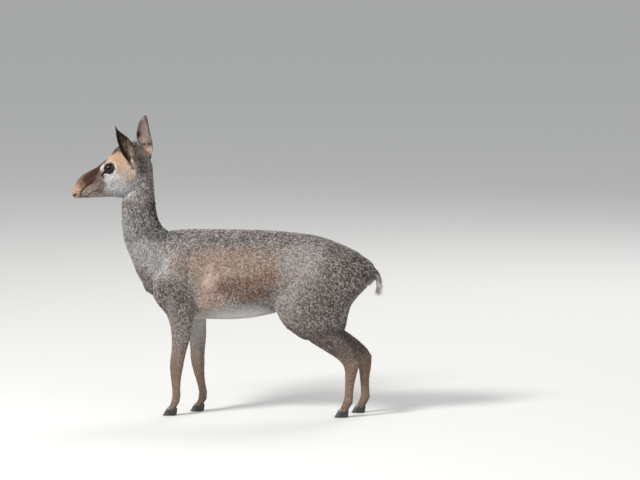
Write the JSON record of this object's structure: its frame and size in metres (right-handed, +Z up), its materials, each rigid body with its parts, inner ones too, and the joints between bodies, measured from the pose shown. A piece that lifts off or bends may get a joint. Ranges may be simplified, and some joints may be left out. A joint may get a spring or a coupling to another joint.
{
  "type": "dwarf antelope figure",
  "caption": "Still, life-size figure of a small hornless antelope standing with raised head, long soft nose, back-turned ears and slender cloven-hoofed legs.",
  "frame": {"origin": "on the floor, under the middle of the bounding box", "axes": "+Z up, the animal faces -X, its left side is towards -Y"},
  "size_m": [0.6212, 0.1194, 0.5997],
  "materials": {
    "coat_body": "short dense hair, grey-brown and finely grizzled",
    "coat_face": "very short hair, rusty on the nose, whitish grey on the cheek",
    "coat_ear": "thin short hair over skin, dark along the rim",
    "coat_leg": "very short smooth hair, pinkish tan",
    "eye": "wet black-brown",
    "hoof": "worn black horn"
  },
  "bodies": {
    "root": {"head": "coat_face", "lower_jaw": "coat_face", "nose": "coat_face", "eye_left": "eye", "eye_right": "eye", "ear_left": "coat_ear", "ear_right": "coat_ear", "neck": "coat_body", "torso": "coat_body", "tail": "coat_body", "foreleg_left_upper": "coat_leg", "foreleg_left_forearm": "coat_leg", "foreleg_left_knee": "coat_leg", "foreleg_left_cannon": "coat_leg", "foreleg_left_pastern": "coat_leg", "foreleg_left_hoof_outer": "hoof", "foreleg_left_hoof_inner": "hoof", "foreleg_right_upper": "coat_leg", "foreleg_right_forearm": "coat_leg", "foreleg_right_knee": "coat_leg", "foreleg_right_cannon": "coat_leg", "foreleg_right_pastern": "coat_leg", "foreleg_right_hoof_outer": "hoof", "foreleg_right_hoof_inner": "hoof", "hindleg_left_thigh": "coat_leg", "hindleg_left_shank": "coat_leg", "hindleg_left_hock": "coat_leg", "hindleg_left_cannon": "coat_leg", "hindleg_left_pastern": "coat_leg", "hindleg_left_hoof_outer": "hoof", "hindleg_left_hoof_inner": "hoof", "hindleg_right_thigh": "coat_leg", "hindleg_right_shank": "coat_leg", "hindleg_right_hock": "coat_leg", "hindleg_right_cannon": "coat_leg", "hindleg_right_pastern": "coat_leg", "hindleg_right_hoof_outer": "hoof", "hindleg_right_hoof_inner": "hoof"}
  },
  "joints": []
}
